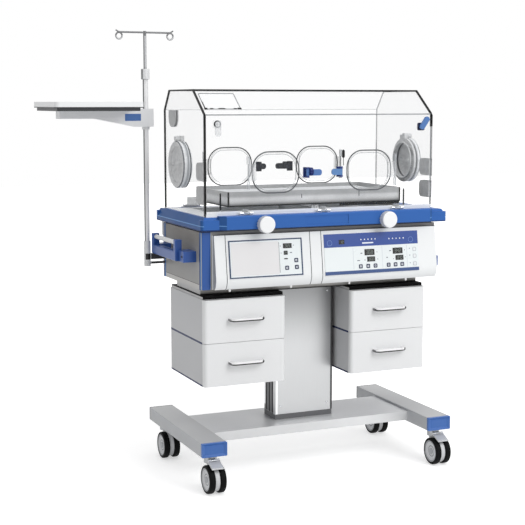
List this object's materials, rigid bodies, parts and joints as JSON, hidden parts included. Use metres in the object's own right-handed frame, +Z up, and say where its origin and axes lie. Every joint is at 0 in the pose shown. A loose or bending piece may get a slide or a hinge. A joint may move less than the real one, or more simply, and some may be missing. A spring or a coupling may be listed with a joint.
{
  "type": "infant incubator",
  "caption": "Infant incubator: clear hood with hand ports over a tilting bed, control cabinet with drawers, column stand on casters, infusion pole and side shelf.",
  "frame": {"origin": "bottom centre of the bounding box, on the floor", "axes": "+X to the right seen from the front, +Y to the back, +Z up; the front door and drawers face -Y"},
  "size_m": [1.437, 0.673, 1.6115],
  "materials": {
    "white_plastic": "smooth",
    "white_enamel": "powder coat",
    "grey_enamel": "powder coat",
    "blue_plastic": "smooth",
    "navy_plastic": "fine texture",
    "black_enamel": "satin",
    "panel_film": "satin film",
    "display_black": "smooth",
    "steel": "brushed",
    "chrome": "polished",
    "aluminium": "anodised",
    "clear_acrylic": "clear",
    "grey_rubber": "matte",
    "tyre": "matte",
    "grey_plastic": "fine texture",
    "mattress_cover": "coated cloth"
  },
  "bodies": {
    "base": {"base_beam": "grey_enamel", "side_legs": "white_enamel", "leg_caps": "blue_plastic", "column": "aluminium", "column_cover": "steel", "chassis_pan": "black_enamel", "cabinet_shell": "grey_enamel", "corner_posts": "blue_plastic", "front_fascia": "white_plastic", "left_panel": "panel_film", "control_panel": "panel_film", "displays_and_keys": "display_black", "filter_box": "white_plastic", "side_handles": "blue_plastic", "drawer_cases": "grey_enamel", "air_unit": "black_enamel", "deck_rim": "blue_plastic", "deck_top": "white_plastic", "pole_fittings": "white_plastic", "pole_tube": "steel"},
    "hood": {"hood_shell": "clear_acrylic", "hood_ends": "clear_acrylic", "hood_hinges": "navy_plastic", "iris_housings": "clear_acrylic", "tube_grommets": "grey_rubber"},
    "front_door": {"front_door": "clear_acrylic"},
    "bed": {"bed_tray": "clear_acrylic", "mattress": "mattress_cover"},
    "tilt_knob_left": {"tilt_knob_left": "white_plastic"},
    "tilt_knob_right": {"tilt_knob_right": "white_plastic"},
    "pole_rod": {"pole_rod": "chrome"},
    "shelf": {"shelf_tray": "white_plastic", "shelf_arm": "aluminium"},
    "fan": {"fan_impeller": "grey_plastic"},
    "iris_ring_left": {"iris_ring_left": "grey_plastic"},
    "iris_ring_right": {"iris_ring_right": "grey_plastic"},
    "door_latch_left": {"door_latch_left": "clear_acrylic"},
    "door_latch_right": {"door_latch_right": "blue_plastic"},
    "caster_front_left": {"caster_front_left_yoke": "grey_plastic"},
    "wheels_front_left": {"caster_front_left_wheels": "tyre"},
    "brake_pedal_left": {"brake_pedal_left": "steel"},
    "caster_front_right": {"caster_front_right_yoke": "grey_plastic"},
    "wheels_front_right": {"caster_front_right_wheels": "tyre"},
    "brake_pedal_right": {"brake_pedal_right": "steel"},
    "caster_back_left": {"caster_back_left_yoke": "grey_plastic"},
    "wheels_back_left": {"caster_back_left_wheels": "tyre"},
    "caster_back_right": {"caster_back_right_yoke": "grey_plastic"},
    "wheels_back_right": {"caster_back_right_wheels": "tyre"},
    "drawer_left_lower": {"drawer_left_lower": "white_enamel"},
    "drawer_left_upper": {"drawer_left_upper": "white_enamel"},
    "drawer_right_lower": {"drawer_right_lower": "white_enamel"},
    "drawer_right_upper": {"drawer_right_upper": "white_enamel"},
    "port_door_front_left": {"port_door_front_left": "clear_acrylic"},
    "port_latch_front_left": {"port_latch_front_left": "blue_plastic"},
    "port_door_front_right": {"port_door_front_right": "clear_acrylic"},
    "port_latch_front_right": {"port_latch_front_right": "blue_plastic"},
    "port_door_back_left": {"port_door_back_left": "clear_acrylic"},
    "port_latch_back_left": {"port_latch_back_left": "blue_plastic"},
    "port_door_back_right": {"port_door_back_right": "clear_acrylic"},
    "port_latch_back_right": {"port_latch_back_right": "blue_plastic"}
  },
  "joints": [
    {"name": "swivel_front_left", "type": "hinge", "parent": "base", "child": "caster_front_left", "pos_m": [-0.2575, -0.2545, 0.131], "axis": [0, 0, 1], "continuous": true},
    {"name": "roll_front_left", "type": "hinge", "parent": "caster_front_left", "child": "wheels_front_left", "pos_m": [-0.2575, -0.2865, 0.05], "axis": [1, 0, 0], "continuous": true},
    {"name": "brake_lift_left", "type": "hinge", "parent": "caster_front_left", "child": "brake_pedal_left", "pos_m": [-0.2575, -0.2855, 0.115], "axis": [-1, 0, 0], "range_deg": [0, 15]},
    {"name": "swivel_front_right", "type": "hinge", "parent": "base", "child": "caster_front_right", "pos_m": [0.6445, -0.2545, 0.131], "axis": [0, 0, 1], "continuous": true},
    {"name": "roll_front_right", "type": "hinge", "parent": "caster_front_right", "child": "wheels_front_right", "pos_m": [0.6445, -0.2865, 0.05], "axis": [1, 0, 0], "continuous": true},
    {"name": "brake_lift_right", "type": "hinge", "parent": "caster_front_right", "child": "brake_pedal_right", "pos_m": [0.6445, -0.2855, 0.115], "axis": [-1, 0, 0], "range_deg": [0, 15]},
    {"name": "swivel_back_left", "type": "hinge", "parent": "base", "child": "caster_back_left", "pos_m": [-0.2575, 0.2255, 0.131], "axis": [0, 0, 1], "continuous": true},
    {"name": "roll_back_left", "type": "hinge", "parent": "caster_back_left", "child": "wheels_back_left", "pos_m": [-0.2575, 0.1935, 0.05], "axis": [1, 0, 0], "continuous": true},
    {"name": "swivel_back_right", "type": "hinge", "parent": "base", "child": "caster_back_right", "pos_m": [0.6445, 0.2255, 0.131], "axis": [0, 0, 1], "continuous": true},
    {"name": "roll_back_right", "type": "hinge", "parent": "caster_back_right", "child": "wheels_back_right", "pos_m": [0.6445, 0.1935, 0.05], "axis": [1, 0, 0], "continuous": true},
    {"name": "drawer_left_lower_slide", "type": "slide", "parent": "base", "child": "drawer_left_lower", "axis": [0, -1, 0], "range_m": [0, 0.26]},
    {"name": "drawer_left_upper_slide", "type": "slide", "parent": "base", "child": "drawer_left_upper", "axis": [0, -1, 0], "range_m": [0, 0.26]},
    {"name": "drawer_right_lower_slide", "type": "slide", "parent": "base", "child": "drawer_right_lower", "axis": [0, -1, 0], "range_m": [0, 0.26]},
    {"name": "drawer_right_upper_slide", "type": "slide", "parent": "base", "child": "drawer_right_upper", "axis": [0, -1, 0], "range_m": [0, 0.26]},
    {"name": "hood_tilt", "type": "hinge", "parent": "base", "child": "hood", "pos_m": [0.1935, 0.2255, 0.9625], "axis": [-1, 0, 0], "range_deg": [0, 60]},
    {"name": "front_door_fold", "type": "hinge", "parent": "hood", "child": "front_door", "pos_m": [0.1935, -0.2235, 0.9675], "axis": [1, 0, 0], "range_deg": [0, 90]},
    {"name": "port_door_front_left_swing", "type": "hinge", "parent": "front_door", "child": "port_door_front_left", "pos_m": [-0.0965, -0.2207, 1.107], "axis": [0, 0, -1], "range_deg": [0, 110]},
    {"name": "port_latch_front_left_press", "type": "hinge", "parent": "front_door", "child": "port_latch_front_left", "pos_m": [0.1275, -0.2257, 1.104], "axis": [0, 0, -1], "range_deg": [0, 30], "stiffness_Nm_per_rad": 0.15},
    {"name": "port_door_front_right_swing", "type": "hinge", "parent": "front_door", "child": "port_door_front_right", "pos_m": [0.4835, -0.2207, 1.107], "axis": [0, 0, 1], "range_deg": [0, 110]},
    {"name": "port_latch_front_right_press", "type": "hinge", "parent": "front_door", "child": "port_latch_front_right", "pos_m": [0.2595, -0.2257, 1.104], "axis": [0, 0, 1], "range_deg": [0, 30], "stiffness_Nm_per_rad": 0.15},
    {"name": "port_door_back_left_swing", "type": "hinge", "parent": "hood", "child": "port_door_back_left", "pos_m": [-0.0965, 0.2217, 1.107], "axis": [0, 0, 1], "range_deg": [0, 110]},
    {"name": "port_latch_back_left_press", "type": "hinge", "parent": "hood", "child": "port_latch_back_left", "pos_m": [0.1275, 0.2267, 1.104], "axis": [0, 0, 1], "range_deg": [0, 30], "stiffness_Nm_per_rad": 0.15},
    {"name": "port_door_back_right_swing", "type": "hinge", "parent": "hood", "child": "port_door_back_right", "pos_m": [0.4835, 0.2217, 1.107], "axis": [0, 0, -1], "range_deg": [0, 110]},
    {"name": "port_latch_back_right_press", "type": "hinge", "parent": "hood", "child": "port_latch_back_right", "pos_m": [0.2595, 0.2267, 1.104], "axis": [0, 0, -1], "range_deg": [0, 30], "stiffness_Nm_per_rad": 0.15},
    {"name": "door_latch_left_turn", "type": "hinge", "parent": "front_door", "child": "door_latch_left", "pos_m": [-0.2115, -0.2215, 1.276], "axis": [0, 1, 0], "range_deg": [0, 90]},
    {"name": "iris_ring_left_turn", "type": "hinge", "parent": "hood", "child": "iris_ring_left", "pos_m": [-0.2795, 0.0005, 1.13], "axis": [-1, 0, 0], "range_deg": [0, 120]},
    {"name": "door_latch_right_turn", "type": "hinge", "parent": "front_door", "child": "door_latch_right", "pos_m": [0.5925, -0.2215, 1.262], "axis": [0, -1, 0], "range_deg": [0, 90]},
    {"name": "iris_ring_right_turn", "type": "hinge", "parent": "hood", "child": "iris_ring_right", "pos_m": [0.6665, 0.0005, 1.13], "axis": [1, 0, 0], "range_deg": [0, 120]},
    {"name": "bed_tilt", "type": "hinge", "parent": "base", "child": "bed", "pos_m": [0.1935, 0.0005, 0.974], "axis": [0, 1, 0], "range_deg": [-8, 8]},
    {"name": "tilt_knob_left_turn", "type": "hinge", "parent": "base", "child": "tilt_knob_left", "pos_m": [-0.0485, -0.2595, 0.929], "axis": [0, 1, 0], "range_deg": [-360, 360]},
    {"name": "tilt_knob_right_turn", "type": "hinge", "parent": "base", "child": "tilt_knob_right", "pos_m": [0.4355, -0.2595, 0.929], "axis": [0, 1, 0], "range_deg": [-360, 360]},
    {"name": "pole_rod_slide", "type": "slide", "parent": "base", "child": "pole_rod", "axis": [0, 0, 1], "range_m": [-0.12, 0.25]},
    {"name": "shelf_swivel", "type": "hinge", "parent": "base", "child": "shelf", "pos_m": [-0.3415, 0.1705, 1.295], "axis": [0, 0, 1], "range_deg": [-60, 40]},
    {"name": "fan_spin", "type": "hinge", "parent": "base", "child": "fan", "pos_m": [0.1935, 0.0005, 0.882], "axis": [0, 0, 1], "continuous": true}
  ],
  "couplings": [
    {"joint": "tilt_knob_left_turn", "follows": "bed_tilt", "ratio": 45},
    {"joint": "tilt_knob_right_turn", "follows": "bed_tilt", "ratio": -45}
  ]
}
